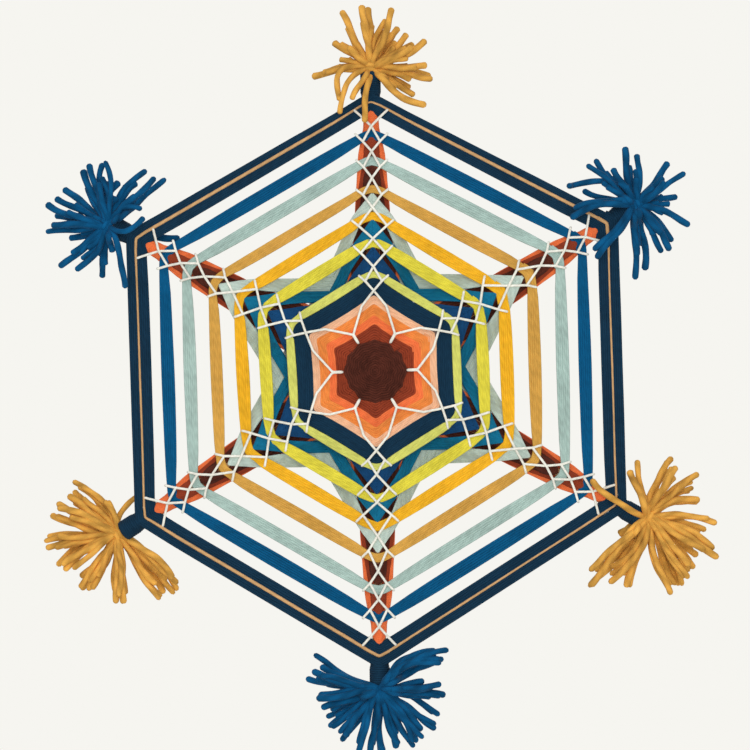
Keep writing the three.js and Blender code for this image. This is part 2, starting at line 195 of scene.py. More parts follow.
def fibre_material(name, colour, plies, turn, dark, bright):
    """Twisted yarn: slanted plies, fine fibres, uneven dye and a tone that drifts along the strand."""
    material, tree, shader = start_material(name, roughness=0.85)
    shader.inputs["Specular IOR Level"].default_value = 0.1
    shader.inputs["Sheen Weight"].default_value = 0.03
    shader.inputs["Sheen Roughness"].default_value = 0.5
    uv = tree.nodes.new("ShaderNodeUVMap")
    uv.uv_map = "strand"
    strand = uv.outputs["UV"]
    place = tree.nodes.new("ShaderNodeTexCoord").outputs["Object"]
    ply = add_plies(tree, strand, plies, turn)
    fibre = add_noise(tree, place, scale=1400.0, detail=3.0)
    dye = add_noise(tree, place, scale=110.0, detail=4.0)
    tone = add_noise(tree, add_mapping(tree, strand, (0.06, 0.0, 0.0)), scale=1.0, detail=2.0)
    dyed = add_mix(tree, dye, ply, share=0.2)
    toned = add_mix(tree, dyed, tone, share=0.4)
    coloured = add_ramp(tree, toned, (0.28, rgba(colour, dark)), (0.7, rgba(colour, bright)))
    tree.links.new(coloured, shader.inputs["Base Color"])
    twisted = add_bump(tree, ply, strength=0.35, distance=0.00022)
    fuzzy = add_bump(tree, fibre, strength=0.5, distance=0.00018, under=twisted)
    tree.links.new(fuzzy, shader.inputs["Normal"])
    return material


def wood_material(name, colour):
    """Bare wood with a fine grain that runs upwards."""
    material, tree, shader = start_material(name, roughness=0.6)
    place = tree.nodes.new("ShaderNodeTexCoord").outputs["Object"]
    grain = add_noise(tree, add_mapping(tree, place, (260.0, 260.0, 60.0)), scale=1.0, detail=5.0)
    coloured = add_ramp(tree, grain, (0.3, rgba(colour, 0.7)), (0.7, rgba(colour, 1.15)))
    tree.links.new(coloured, shader.inputs["Base Color"])
    tree.links.new(add_bump(tree, grain, strength=0.3, distance=0.0002), shader.inputs["Normal"])
    return material


MATERIALS = {}
for colour_name, colour_bytes in COLOURS.items():
    if colour_name == "wood":
        MATERIALS[colour_name] = wood_material(colour_name, colour_bytes)
    else:
        prefix = "" if colour_name.startswith(("lace", "tuft")) else "yarn_"
        twist = TWISTS.get(colour_name, PLAIN_TWIST)
        MATERIALS[colour_name] = fibre_material(prefix + colour_name, colour_bytes, *twist)


# Points and strands.
def plane_point(angle, along, across, depth):
    turn = math.radians(angle)
    x = along * math.cos(turn) - across * math.sin(turn)
    z = along * math.sin(turn) + across * math.cos(turn)
    return np.array((x, STICK_PLANE - depth, z))


def arm_point(arm, along, across, depth):
    """A point beside an arm, at the reach that the arm's windings have at that radius."""
    k = arm % ARM_COUNT
    factors = (INNER_REACH[k], REACH[k], REACH[k], OUTER_REACH[k], EDGE_REACH[k])
    return plane_point(ANGLES[k], along * np.interp(along, REACH_RADII, factors), across, depth)


def sector_angle(arm):
    """The angle half way from an arm to the next."""
    following = ANGLES[(arm + 1) % ARM_COUNT] + (360.0 if arm == ARM_COUNT - 1 else 0.0)
    return (ANGLES[arm] + following) / 2


def between(ends, share):
    return ends[0] + (ends[1] - ends[0]) * share


def jitter(amount):
    return chance.uniform(-amount, amount)


def smooth(points, step):
    """A curve through the points, sampled about once per step and at least twice per run."""
    points = [np.asarray(p, float) for p in points]
    padded = [2 * points[0] - points[1]] + points + [2 * points[-1] - points[-2]]
    out = []
    for i in range(1, len(padded) - 2):
        a, b, c, d = padded[i - 1], padded[i], padded[i + 1], padded[i + 2]
        gap = np.linalg.norm(c - b)
        count = max(2, int(round(gap / step)))
        before = (c - a) * gap / max(np.linalg.norm(b - a) + gap, TINY)
        after = (d - b) * gap / max(np.linalg.norm(d - c) + gap, TINY)
        for j in range(count):
            t = j / count
            out.append((2 * t ** 3 - 3 * t ** 2 + 1) * b + (t ** 3 - 2 * t ** 2 + t) * before
                       + (3 * t ** 2 - 2 * t ** 3) * c + (t ** 3 - t ** 2) * after)
    out.append(points[-1])
    return np.array(out)


def taut(points, bend):
    """Straight runs between the points, with the corners rounded over less than half of a run."""
    most = 0.45
    points = [np.asarray(p, float) for p in points]
    out = [points[0]]
    for before, here, after in zip(points, points[1:], points[2:]):
        start = here + (before - here) * min(most, bend / np.linalg.norm(before - here))
        end = here + (after - here) * min(most, bend / np.linalg.norm(after - here))
        for t in (0.0, 0.25, 0.5, 0.75, 1.0):
            out.append((1 - t) ** 2 * start + 2 * t * (1 - t) * here + t * t * end)
    out.append(points[-1])
    return np.array(out)


class Strands:
    """All the tubes of one piece."""

    def __init__(self):
        self.corners = []
        self.faces = []
        self.coords = []

    def add(self, path, radius, sides=SIDES, taper=None, start=0.0):
        """A closed tube. The taper gives a factor on its radius by the share of its length.

        The start is where its strand coordinate begins, so that no two strands look alike."""
        path = np.asarray(path, float)
        lengths = np.linalg.norm(np.diff(path, axis=0), axis=1)
        path = path[np.concatenate(([True], lengths > SHORTEST_RUN))]
        runs = np.diff(path, axis=0)
        lengths = np.linalg.norm(runs, axis=1)
        ways = runs / lengths[:, None]
        tangents = np.vstack((ways[:1], ways[:-1] + ways[1:], ways[-1:]))
        tangents /= np.maximum(np.linalg.norm(tangents, axis=1), TINY)[:, None]
        travelled = np.concatenate(([0.0], np.cumsum(lengths)))
        helper = np.array((0.0, 1.0, 0.0))
        if abs(tangents[0] @ helper) > 0.9:
            helper = np.array((1.0, 0.0, 0.0))
        normal = np.cross(tangents[0], helper)
        base = len(self.corners)
        turns = np.arange(sides) * 2 * math.pi / sides
        for i, point in enumerate(path):
            normal = normal - tangents[i] * (normal @ tangents[i])
            normal /= max(np.linalg.norm(normal), TINY)
            other = np.cross(tangents[i], normal)
            thick = radius if taper is None else radius * taper(travelled[i] / travelled[-1])
            for turn in turns:
                self.corners.append(point + thick * (math.cos(turn) * normal + math.sin(turn) * other))
        for i in range(len(path) - 1):
            low = base + i * sides
            u0, u1 = start + travelled[i], start + travelled[i + 1]
            for j in range(sides):
                k = (j + 1) % sides
                self.faces.append((low + j, low + k, low + sides + k, low + sides + j))
                v0, v1 = j / sides, (j + 1) / sides
                self.coords.extend(((u0, v0), (u0, v1), (u1, v1), (u1, v0)))
        for row, flip in ((0, True), (len(path) - 1, False)):
            ring = [base + row * sides + j for j in range(sides)]
            self.faces.append(tuple(reversed(ring)) if flip else tuple(ring))
            self.coords.extend([(start + travelled[row], j / sides) for j in range(sides)])

    def piece(self, name, material, slot, *nodes):
        """The mesh of all the tubes, which stands for the nodes."""
        mesh = bpy.data.meshes.new(name)
        mesh.from_pydata([tuple(c * MM) for c in self.corners], [], self.faces)
        layer = mesh.uv_layers.new(name="strand")
        layer.data.foreach_set("uv", np.array(self.coords, float).ravel())
        mesh.polygons.foreach_set("use_smooth", [len(f) == 4 for f in self.faces])
        mesh.materials.append(MATERIALS[material])
        mesh.update()
        body = bpy.data.objects.new(name, mesh)
        bpy.context.scene.collection.objects.link(body)
        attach(body, "root")
        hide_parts(*nodes)


# Round the back of an arm: how far a point lies towards the hub as a side distance on the slope,
# its own side distance and its depth. The yarn is pulled a little thinner there.
BACK_LOOP = [
    (3.9, -3.9, 1.6),
    (3.8, -3.9, -0.4),
    (3.2, -3.0, -2.6),
    (2.4, 0.0, -3.75),
    (3.2, 3.0, -2.6),
    (3.8, 3.9, -0.4),
    (3.9, 3.9, 1.6),
]
HUB_BACK_LOOP = [
    (3.8, -3.8, 1.6),
    (3.2, -3.6, -1.5),
    (2.4, 0.0, -3.75),
    (3.2, 3.6, -1.5),
    (3.8, 3.8, 1.6),
]
BACK_STEP = 1.6
HUB_BACK_STEP = 1.8
BACK_THIN = 0.96


def pass_behind(strands, arm, radius, loop, step):
    points = [arm_point(arm, radius - SLOPE * drop, across, depth) for drop, across, depth in loop]
    strands.add(smooth(points, step), YARN / 2 * BACK_THIN)


# Over the front of an arm: the side distances of a strand's points, which are less near the hub,
# the half width of the cut corner, and how much lower the flanks lie than the ridge.
FLANKS = [2.2, 4.6]
FLANKS_FROM = 40.0
SMALL_FLANK = 2.0
SMALL_FLANK_SHARE = 0.12
APEX_HALF = 3.2
FLANK_SINK = 0.12
# Between two arms: where the points lie, how much lower they are, and how loose the yarn is.
SIDE_SHARES = (0.15, 0.32, 0.5, 0.68, 0.85)
SIDE_SINK = 0.25
LOOSE_FRONT = 0.1
LOOSE_SIDE = 0.06
LOOSE_SIDE_DEPTH = 0.05
HEXAGON_STEP = 9.0


def wind_hexagon(strands, inner, turns, step, front, apex, dent, bunch=0.0, yarn=YARN, taper=None):
    """A spiral over the fronts of the arms. Each pass also goes round the back of the arm.

    The apex is how far the corner is cut, the dent how far the sides lie in, as a share of the
    radius, and the bunch how far the band draws together at the corners, as a share of its width."""
    points = []
    middle = inner + step * turns / 2
    passes = turns * ARM_COUNT
    for count in range(passes + 1):
        arm = count % ARM_COUNT
        flat = inner + step * count / ARM_COUNT
        corner = flat + (middle - flat) * bunch
        depth = front + jitter(LOOSE_FRONT)
        flanks = FLANKS if flat > FLANKS_FROM else [min(SMALL_FLANK, flat * SMALL_FLANK_SHARE)]
        for across in [-f for f in reversed(flanks)] + [0.0] + flanks:
            drop = SLOPE * abs(across) + apex * max(0.0, 1.0 - abs(across) / APEX_HALF)
            points.append(arm_point(arm, corner - drop, across, depth - FLANK_SINK * (across != 0)))
        if count < passes:
            ahead = inner + step * (count + 1) / ARM_COUNT
            for share in SIDE_SHARES:
                nearness = (2 * share - 1) ** 2
                draw = bunch * nearness
                near = arm_point(arm, flat + (middle - flat) * draw, 0.0, depth)
                far = arm_point(arm + 1, ahead + (middle - ahead) * draw, 0.0, depth)
                spot = near * (1 - share) + far * share
                outward = spot * np.array((1.0, 0.0, 1.0))
                outward /= np.linalg.norm(outward)
                spot = spot + outward * (jitter(LOOSE_SIDE) - dent * flat * (1 - nearness))
                spot[1] = STICK_PLANE - depth + SIDE_SINK + jitter(LOOSE_SIDE_DEPTH)
                points.append(spot)
        pass_behind(strands, arm, corner, BACK_LOOP, BACK_STEP)
    strands.add(smooth(points, HEXAGON_STEP), yarn / 2, taper=taper)


# The hub: radii of its first and last turn, and how its turns rise, widen and round off over the arms.
HUB_INNER = 0.35
HUB_OUTER = 15.0
HUB_TURNS = 13
HUB_LIFT = 0.35
HUB_CROWN = 1.3
HUB_FLANK = 2.6
HUB_FLANK_SHARE = 0.34
HUB_FLANK_DROP = 0.8
HUB_FLANK_SINK = 0.1
HUB_ROUNDING = 0.075
HUB_LOOSE = 0.06
HUB_STEP = 4.0
# Between the arms its sides lie a little further in and higher. A turn has such sides from the first of these
# radii, and goes round the backs of the arms from the second.
HUB_SIDE_SHARE = 0.93
HUB_SIDE_LIFT = 0.1
HUB_SIDE_FROM = 4.0
HUB_BACK_FROM = 8.0
# The binding behind the crossing: a ring of turns that wave a little in depth.
BINDING_POINTS = 61
BINDING_TURN = 0.62
BINDING_RADIUS = 4.2
BINDING_BACK = 3.9
BINDING_WAVE = 0.2
BINDING_WAVES = 3
BINDING_STEP = 2.2


def wind_hub(strands):
    """The first turns go round the crossing itself and lie a little higher than the rest."""
    step = (HUB_OUTER - HUB_INNER) / HUB_TURNS
    passes = HUB_TURNS * ARM_COUNT
    points = []
    for count in range(passes + 1):
        arm = count % ARM_COUNT
        radius = HUB_INNER + step * count / ARM_COUNT
        rise = FRONT + HUB_LIFT + HUB_CROWN * max(0.0, 1.0 - radius / HUB_OUTER) + jitter(HUB_LOOSE)
        flank = min(HUB_FLANK, radius * HUB_FLANK_SHARE)
        corner = radius - HUB_ROUNDING * radius
        beside = corner - SLOPE * flank * HUB_FLANK_DROP
        points.append(arm_point(arm, beside, -flank, rise - HUB_FLANK_SINK))
        points.append(arm_point(arm, corner, 0.0, rise))
        points.append(arm_point(arm, beside, flank, rise - HUB_FLANK_SINK))
        if radius > HUB_SIDE_FROM and count < passes:
            half_way = (radius + step / (2 * ARM_COUNT)) * HUB_SIDE_SHARE
            points.append(plane_point(sector_angle(arm), half_way, 0.0, rise + HUB_SIDE_LIFT))
        if radius > HUB_BACK_FROM:
            pass_behind(strands, arm, radius, HUB_BACK_LOOP, HUB_BACK_STEP)
    strands.add(smooth(points, HUB_STEP), YARN / 2)
    binding = []
    for count in range(BINDING_POINTS):
        turn = count * BINDING_TURN
        y = STICK_PLANE + BINDING_BACK + BINDING_WAVE * math.sin(turn * BINDING_WAVES)
        binding.append((BINDING_RADIUS * math.cos(turn), y, BINDING_RADIUS * math.sin(turn)))
    strands.add(smooth(binding, BINDING_STEP), YARN / 2)


# The eye: corner radii of each band's edges and its number of turns.
EYE = [
    ("rust", 13.7, 20.4, 6),
    ("coral", 20.4, 24.2, 4),
    ("orange", 24.2, 29.0, 5),
    ("peach", 29.0, 32.8, 4),
    ("navy", 32.8, 41.0, 8),
]
EYE_LIFT = 0.1
EYE_APEX = 0.15
EYE_DENT = 0.02

hub = Strands()
wind_hub(hub)
hub.piece("yarn_eye_dark_brown", "dark_brown", "yarn_dark_brown", "eye_dark_brown")
for eye_name, eye_inner, eye_outer, eye_turns in EYE:
    eye = Strands()
    eye_step = (eye_outer - eye_inner) / eye_turns
    wind_hexagon(eye, eye_inner, eye_turns, eye_step, FRONT + EYE_LIFT, EYE_APEX, EYE_DENT)
    eye.piece("yarn_eye_" + eye_name, eye_name, "yarn_" + eye_name, "eye_" + eye_name)

# Rings: the corner radius of the band's middle, its number of turns and their spacing, and its colour.
RINGS = [
    ("lime", 42.6, 5, 0.7, "lime"),
    ("yellow", 56.2, 6, 0.9, "yellow"),
    ("gold", 68.1, 6, 0.95, "gold"),
    ("ochre", 81.7, 6, 0.86, "ochre"),
    ("sage", 95.4, 6, 0.92, "sage"),
    ("blue", 107.0, 6, 0.98, "blue"),
    ("navy_inner", 119.1, 6, 0.95, "navy"),
    ("tan", 121.65, 1, 0.2, "tan"),
    ("navy_outer", 124.45, 4, 0.95, "navy"),
]
# The lacing draws the rings together at their corners, and the rim only a little.
RING_APEX = 1.2
RING_BUNCH = 0.42
RIM_APEX = 0.45
RIM_BUNCH = 0.1
RIM_FROM = 110.0
RAISED = ("tan", "lime")
RAISED_LIFT = 0.4
# The tan yarn lies between its neighbours, and deeper between them over the top arm and on three sides.
# The places count the sides from the upper right arm, and the shares are how much of its thickness shows.
TAN_YARN = 1.55
SUNK_PLACES = (0.7, 1.0, 1.3, 1.9, 2.1, 2.9, 3.1, 3.9, 4.1, 5.9, 6.0)
SUNK_SHARES = (1.0, 0.62, 1.0, 1.0, 0.6, 0.6, 1.0, 1.0, 0.72, 0.72, 1.0)


def sunk(share):
    return np.interp(share * ARM_COUNT, SUNK_PLACES, SUNK_SHARES)


for ring_name, ring_middle, ring_turns, ring_pitch, ring_colour in RINGS:
    ring = Strands()
    ring_step = ring_pitch / COSINE
    ring_inner = ring_middle - ring_step * ring_turns / 2
    ring_front = FRONT + (RAISED_LIFT if ring_name in RAISED else 0.0)
    apex, bunch = (RIM_APEX, RIM_BUNCH) if ring_middle > RIM_FROM else (RING_APEX, RING_BUNCH)
    thickness, thinning = (TAN_YARN, sunk) if ring_name == "tan" else (YARN, None)
    wind_hexagon(ring, ring_inner, ring_turns, ring_step, ring_front, apex, 0.0, bunch, thickness, thinning)
    ring.piece("yarn_ring_" + ring_name, ring_colour, "yarn_" + ring_colour, "ring_" + ring_name)

# Stars: each triangle's strands lie over the fronts of their own arms and run behind the arms between.
# A row gives the colour and slot, the radii of the innermost and the outermost strand's tip, the radii on
# the arm's axis that their legs point at, the number of strands, and the depths of the legs of both halves.
STARS = [
    ("navy", "star_navy", "yarn_star_navy", (44.6, 52.6), (47.0, 57.0), 9, (-6.2, -5.0)),
    ("teal", "teal", "yarn_teal", (57.6, 64.8), (61.3, 69.4), 11, (-6.2, -5.0)),
    # The sage star's legs use the sage yarn painted lighter, as painted light against the shade of the rings.
    ("sage", "star_sage", "yarn_sage", (70.6, 77.7), (71.2, 81.2), 12, (-8.2, -7.0)),
]
# The turn at a tip: how far its points lie back from the tip, to the side and to the front. Then the side
# distance and the depth where it joins the leg.
TURN = [(1.4, 1.1, 3.7), (3.6, 2.75, 3.2), (6.0, 4.5, 2.3), (8.4, 6.4, 1.0)]
TURN_LIFT = 0.1
JOIN = 10.0
JOIN_DEPTH = -0.6
# The points of a leg. It lies deepest in its middle, behind the arm between.
LEG_MIDDLE = 0.5
LEG_SHARES = (0.26, LEG_MIDDLE, 0.74)
LEG_RISE = 0.3
LOOSE_TIP = 0.2
LOOSE_LEG = 0.25
STAR_STEP = 5.0
STAR_SHIFT = 70.0


def star_path(first, tips, legs, depth, share):
    """One strand, once round the three arms of a triangle."""
    leg = between(legs, share)
    last = first + ARM_COUNT
    path = []
    for arm in range(first, last + 1, 2):
        tip = between(tips, share) + jitter(LOOSE_TIP)
        turn = [(tip - back, across, level) for back, across, level in TURN]
        turn.append((leg - LEG_SLOPE * JOIN, JOIN, JOIN_DEPTH))
        if arm > first:
            path.extend(arm_point(arm, along, -across, level) for along, across, level in reversed(turn))
        path.append(arm_point(arm, tip, 0.0, FRONT + TURN_LIFT))
        if arm < last:
            path.extend(arm_point(arm, along, across, level) for along, across, level in turn)
            here = arm_point(arm, leg, 0.0, 0.0)
            there = arm_point(arm + 2, leg, 0.0, 0.0)
            for part in LEG_SHARES:
                spot = here * (1 - part) + there * part
                spot[1] = STICK_PLANE - depth - LEG_RISE * (part != LEG_MIDDLE) + jitter(LOOSE_LEG)
                path.append(spot)
    return smooth(path, STAR_STEP)


for star_name, star_colour, star_slot, star_tips, star_legs, star_count, star_depths in STARS:
    for half, first_arm, star_depth in (("a", 1, star_depths[0]), ("b", 0, star_depths[1])):
        star = Strands()
        for i in range(star_count):
            strand = star_path(first_arm, star_tips, star_legs, star_depth, i / (star_count - 1))
            star.add(strand, YARN / 2, start=STAR_SHIFT * i)
        star_node = "star_%s_%s" % (star_name, half)
        star.piece("yarn_" + star_node, star_colour, star_slot, star_node)

# Spindles: strands along both sides of one stick that close over the fronts of its ends. A row gives the
# colour, the radii of the innermost and the outermost strand's tip, the number of strands, and their side
# distances where they begin to close. Then follow stations on the arm, each a radius, the side distances
# of the innermost and the outermost strand there, and their depth.
SPINDLES = [
    ("brown", "dark_brown", (83.6, 91.5), 10, (1.6, 3.5),
     [(44.0, 2.6, 9.2, -2.2), (58.0, 1.7, 7.6, -1.6), (72.0, 1.8, 5.5, -0.3)]),
    ("rust", "rust", (97.4, 104.2), 9, (2.2, 3.0),
     [(44.0, 7.2, 8.5, -3.6), (58.0, 6.6, 7.8, -2.8), (72.0, 5.6, 6.8, -0.6), (84.0, 3.2, 5.0, 0.3)]),
    ("coral", "coral", (109.6, 115.8), 9, (1.7, 3.0),
     [(44.0, 8.4, 10.6, -4.8), (58.0, 7.0, 7.8, -4.0), (72.0, 6.5, 7.1, -1.6), (84.0, 4.6, 6.3, -0.4),
      (97.0, 2.7, 5.4, 1.0)]),
]
# At the hub the strands pass behind the crossing: two radii with their depths, the least side distance, and
# how much deeper each further stick's strands lie.
HUB_PASS = ((13.0, -5.6), (26.0, -3.0))
HUB_PASS_SIDE = 5.3
HUB_PASS_STACK = 1.1
# How a strand closes over the end: distances back from the tip, side distances and depths. A strand on the
# stick's face rests a little above it, and every other strand lies lower than its neighbours.
CLOSE_BACK = (7.0, 3.2, 0.8)
CLOSE_SIDES = (2.7, 1.1)
CLOSE_DEPTHS = (1.0, FRONT - 0.9, FRONT + 0.1)
CLOSE_LIFT = 0.25
STRAND_REST = 0.5
EVERY_OTHER_DROP = 0.5
SPINDLE_STEP = 5.0
SPINDLE_SHIFT = 90.0


def on_stick(across, depth):
    """The depth of a strand, or of the stick's own face where the strand lies on it."""
    if across >= STICK_RADIUS:
        return depth
    return max(depth, math.sqrt(STICK_RADIUS ** 2 - across ** 2) + STRAND_REST)


def spindle_path(stick, tips, close_sides, stations, share, drop):
    """One strand, once round both arms of a stick."""
    tip = between(tips, share)
    wide = max(HUB_PASS_SIDE, between(stations[0][1:3], share))
    run = [
        (HUB_PASS[0][0], wide, HUB_PASS[0][1] - HUB_PASS_STACK * stick - drop),
        (HUB_PASS[1][0], wide, HUB_PASS[1][1] - drop),
    ]
    for along, low, high, depth in stations:
        across = between((low, high), share)
        run.append((along, across, on_stick(across, depth - drop)))
    close = between(close_sides, share)
    run.append((tip - CLOSE_BACK[0], close, on_stick(close, CLOSE_DEPTHS[0] - drop)))
    run.append((tip - CLOSE_BACK[1], min(close, CLOSE_SIDES[0]), CLOSE_DEPTHS[1]))
    run.append((tip - CLOSE_BACK[2], CLOSE_SIDES[1], CLOSE_DEPTHS[2]))
    path = []
    for arm in (stick, stick + len(STICKS)):
        path.extend(arm_point(arm, along, -across, depth) for along, across, depth in run)
        path.append(arm_point(arm, tip, 0.0, FRONT + CLOSE_LIFT))
        path.extend(arm_point(arm, along, across, depth) for along, across, depth in reversed(run))
    path.append(path[0])
    return smooth(path, SPINDLE_STEP)


for spindle_name, spindle_colour, spindle_tips, spindle_count, spindle_sides, spindle_stations in SPINDLES:
    for stick, way in enumerate(STICKS):
        spindle = Strands()
        for i in range(spindle_count):
            strand = spindle_path(stick, spindle_tips, spindle_sides, spindle_stations,
                                  i / (spindle_count - 1), EVERY_OTHER_DROP * (i % 2))
            spindle.add(strand, YARN / 2, start=SPINDLE_SHIFT * i)
        spindle_node = "spindle_%s_%s" % (spindle_name, way)
        spindle.piece("yarn_" + spindle_node, spindle_colour, "yarn_" + spindle_colour, spindle_node)

# Arm ends: yarn wrapped close round the stick, from under the last ring up to the tuft, closed by a dome.
# The ends are true radii from the hub, arm by arm. The wrap thickens where it comes out from under the ring.
TIP_START = 122.0
TIP_ENDS = [134.4, 131.9, 131.7, 132.2, 138.2, 133.5]
TIP_RADIUS = 4.1
TIP_THIN = 0.4
TIP_RISE_FROM = 125.4
TIP_RISE = 1.5
TIP_DOME = 1.4
DOME_HOLE = 0.1
WRAP_PITCH = 0.9
WRAP_STEPS = 10
DOME_STEPS = 4 * WRAP_STEPS


def wrap_path(arm):
    dome_start = TIP_ENDS[arm] / EDGE_REACH[arm] - TIP_DOME
    steps = int((dome_start - TIP_START) / WRAP_PITCH) * WRAP_STEPS
    path = []
    for count in range(steps + DOME_STEPS + 1):
        angle = 2 * math.pi * count / WRAP_STEPS
        along = TIP_START + (dome_start - TIP_START) * min(1.0, count / steps)
        rise = min(1.0, max(0.0, (along - TIP_RISE_FROM) / TIP_RISE))
        bend = math.pi / 2 * max(0.0, count - steps) / DOME_STEPS
        radius = (TIP_RADIUS - TIP_THIN + TIP_THIN * rise) * math.cos(bend) + DOME_HOLE
        along += TIP_DOME * math.sin(bend)
        path.append(arm_point(arm, along, radius * math.sin(angle), radius * math.cos(angle)))
    return path


for arm_index, arm_name in enumerate(ARMS):
    wrap = Strands()
    wrap.add(wrap_path(arm_index), YARN / 2)
    wrap.piece("yarn_tip_" + arm_name, "navy", "yarn_navy", "tip_wrap_" + arm_name)

# Lacing: crossings on the arm's axis, and stitches over the rings as radius, side distance and half width.
LACE = 1.1
LACE_DEPTH = 5.1
LACE_BEND = 0.7
CROSSINGS = [34.3, 44.6, 56.6, 71.0, 86.0, 98.2, 109.4]
CROSS_OVER = 1.1
CROSS_UNDER = 0.1
STITCHES = [
    (42.6, 5.1, 1.7),
    (56.0, 7.0, 2.0),
    (68.0, 7.8, 1.9),
    (82.0, 5.6, 1.9),
    (96.0, 5.3, 2.1),
    (107.6, 5.5, 2.3),
    (118.6, 5.8, 2.1),
]
# A stitch goes over the ring, round behind it and up at its inner edge. Each point is a share of the half
# width outwards and a distance more, a shift along the ring, and a depth.
STITCH = [
    (-1.0, 0.0, -0.5, LACE_DEPTH - 0.1),
    (0.9, 0.0, 0.5, LACE_DEPTH - 0.4),
    (1.0, 0.0, 0.4, FRONT - 0.9),
    (-1.0, -0.2, -0.4, FRONT - 0.9),
    (-1.0, 0.0, -0.7, LACE_DEPTH + 0.1),
]
# Over the eye the thread forks from both arms to the middle of the sector, where it dips under the eye's
# first turns. Each point is a radius, a side distance from the middle and a lift.
EYE_LACE_DEPTH = LACE_DEPTH + 0.2
FORK_RADIUS = 27.8
FORK_SIDE = 5.4
FORK = [(18.7, -0.15, 0.2), (14.9, -0.12, 0.5), (14.2, 0.0, -0.8), (14.9, 0.12, 0.5), (18.7, 0.15, 0.2)]


def lace_along(arm, side, lift):
    """From the crossing at the eye outwards to the last stitch, which ends behind its ring."""
    points = []
    for crossing, (radius, away, half_width) in zip(CROSSINGS, STITCHES):
        side = -side
        points.append(arm_point(arm, crossing, 0.0, LACE_DEPTH + lift))
        for share, more, shift, depth in STITCH:
            out = half_width * share + more
            along = radius - SLOPE * away + out * COSINE - shift * SLOPE
            points.append(arm_point(arm, along, side * (away + out * SINE + shift), depth))
    return points[:-1]


def lace_fork(sector):
    middle = sector_angle(sector)
    points = [arm_point(sector, FORK_RADIUS, FORK_SIDE, EYE_LACE_DEPTH)]
    points += [plane_point(middle, radius, across, EYE_LACE_DEPTH + lift) for radius, across, lift in FORK]
    points.append(arm_point(sector + 1, FORK_RADIUS, -FORK_SIDE, EYE_LACE_DEPTH))
    return points


for sector_index, sector_name in enumerate(ARMS):
    lace = Strands()
    inwards = list(reversed(lace_along(sector_index, 1, CROSS_OVER)))
    outwards = lace_along(sector_index + 1, -1, CROSS_UNDER)
    lace.add(taut(inwards + lace_fork(sector_index) + outwards, LACE_BEND), LACE / 2, sides=ROUND_SIDES)
    lace.piece("lace_thread_" + sector_name, "lace", "lace_white", "lace_" + sector_name)

# Tufts: the knot's true radius from the hub, its side distance and its depth, arm by arm.
TUFT_YARN = 2.75
KNOTS = [136.4, 133.9, 134.2, 134.2, 140.3, 136.0]
KNOT_SIDES = [0.0, 0.0, 1.2, 0.0, 0.0, 2.5]
KNOT_DEPTHS = [0.6, 0.6, 0.6, -3.0, 0.6, 0.6]
# The knot is a short coil.
COIL_TURNS = 3
COIL_STEPS = 12
COIL_LENGTH = 5.2
COIL_RADIUS = 2.2
COIL_BACK = 0.6
# Each loose end as the angle it points to, its length and its sideways bow in hundredths of the length, with
# a fourth number where it lies behind the frame.
TUFT_ENDS = [
    [(102, 26, 3), (89, 22, -4), (51, 24, 0), (34, 25, -3), (44, 17, 0), (13, 19, 0), (0, 15, 0),
     (339, 25, 5), (317, 23, 5), (306, 25, 5), (298, 24, 3), (279, 29, 4), (270, 33, -2), (234, 30, 0),
     (228, 28, 0), (191, 30, -8), (186, 28, -12), (163, 24, 5), (165, 31, -20), (141, 28, 0),
     (132, 27, 2), (124, 19, 0)],
    [(118, 28, 0), (97, 27, 0), (91, 27, 0), (68, 27, -2), (73, 22, 6), (54, 22, 2), (41, 22, -4),
     (24, 27, -5), (28, 22, 0), (13, 17, 0), (0, 25, 0), (354, 27, 2), (350, 28, 0), (324, 30, -8),
     (327, 23, 4), (238, 25, -18), (263, 25, 0), (187, 26, -3), (186, 20, 0), (227, 20, -40),
     (144, 20, 0), (140, 13, 0), (165, 14, 0), (241, 17, 0)],
    [(114, 27, 0), (105, 28, 0), (94, 28, 10), (91, 28, -8), (75, 20, 15), (69, 20, -8), (56, 30, 8),
     (44, 30, 2), (41, 33, -4), (24, 17, 25), (12, 17, -25), (139, 26, 0), (151, 26, 0), (160, 28, 5),
     (169, 24, 0), (179, 24, 0), (187, 27, 0), (196, 18, 10), (222, 28, 0), (237, 24, 9), (262, 23, 0),
     (286, 29, 8), (281, 12, 0), (351, 32, -3, -1)],
    [(131, 31, -8), (142, 28, 0), (138, 28, 0), (153, 30, 0), (163, 31, 3), (182, 32, 0), (185, 33, 0),
     (189, 32, 0), (206, 31, -8), (213, 28, -8), (233, 29, 0), (237, 30, 0), (242, 28, 0), (269, 30, 0),
     (273, 31, 0), (277, 30, 0), (302, 34, 0), (308, 33, 3), (314, 36, 3), (320, 34, 6),
     (64, 18, 20, -1), (112, 16, -10)],
    [(153, 33, 3), (165, 31, 3), (172, 33, 2), (187, 28, 0), (198, 27, 0), (208, 27, 0), (217, 28, 0),
     (227, 26, 0), (235, 29, 0), (252, 29, -5), (262, 28, 0), (269, 29, 0), (287, 27, 0), (300, 29, 0),
     (305, 29, 3), (313, 28, 0), (326, 30, 0), (335, 29, 9), (355, 29, 0), (5, 27, 0), (25, 31, 5),
     (30, 35, 14), (34, 30, 15)],
    [(102, 25, 0), (112, 22, 0), (66, 28, 6), (60, 25, 4), (39, 29, 4), (30, 24, 10), (18, 24, 10),
     (355, 30, 3), (345, 27, 3), (330, 35, 2), (336, 31, 0), (320, 29, 0), (311, 31, 0), (306, 30, 0),
     (297, 35, 2), (301, 32, 0), (285, 36, -3), (290, 33, 0), (254, 33, 0), (238, 34, 15), (233, 36, 5),
     (228, 40, 0), (215, 15, 0, -1), (146, 30, 10)],
]
# How steeply the loose ends stand forward, in turn.
TILTS = [0.05, 0.32, -0.22, 0.45, 0.18, -0.3]
# How long the strands beside a loose end are, as a share of it. The upper tufts end in single strands.
BESIDE = [0.62, 0.72, 0.64, 0.86, 0.84, 0.88]
BESIDE_RANGE = 0.14
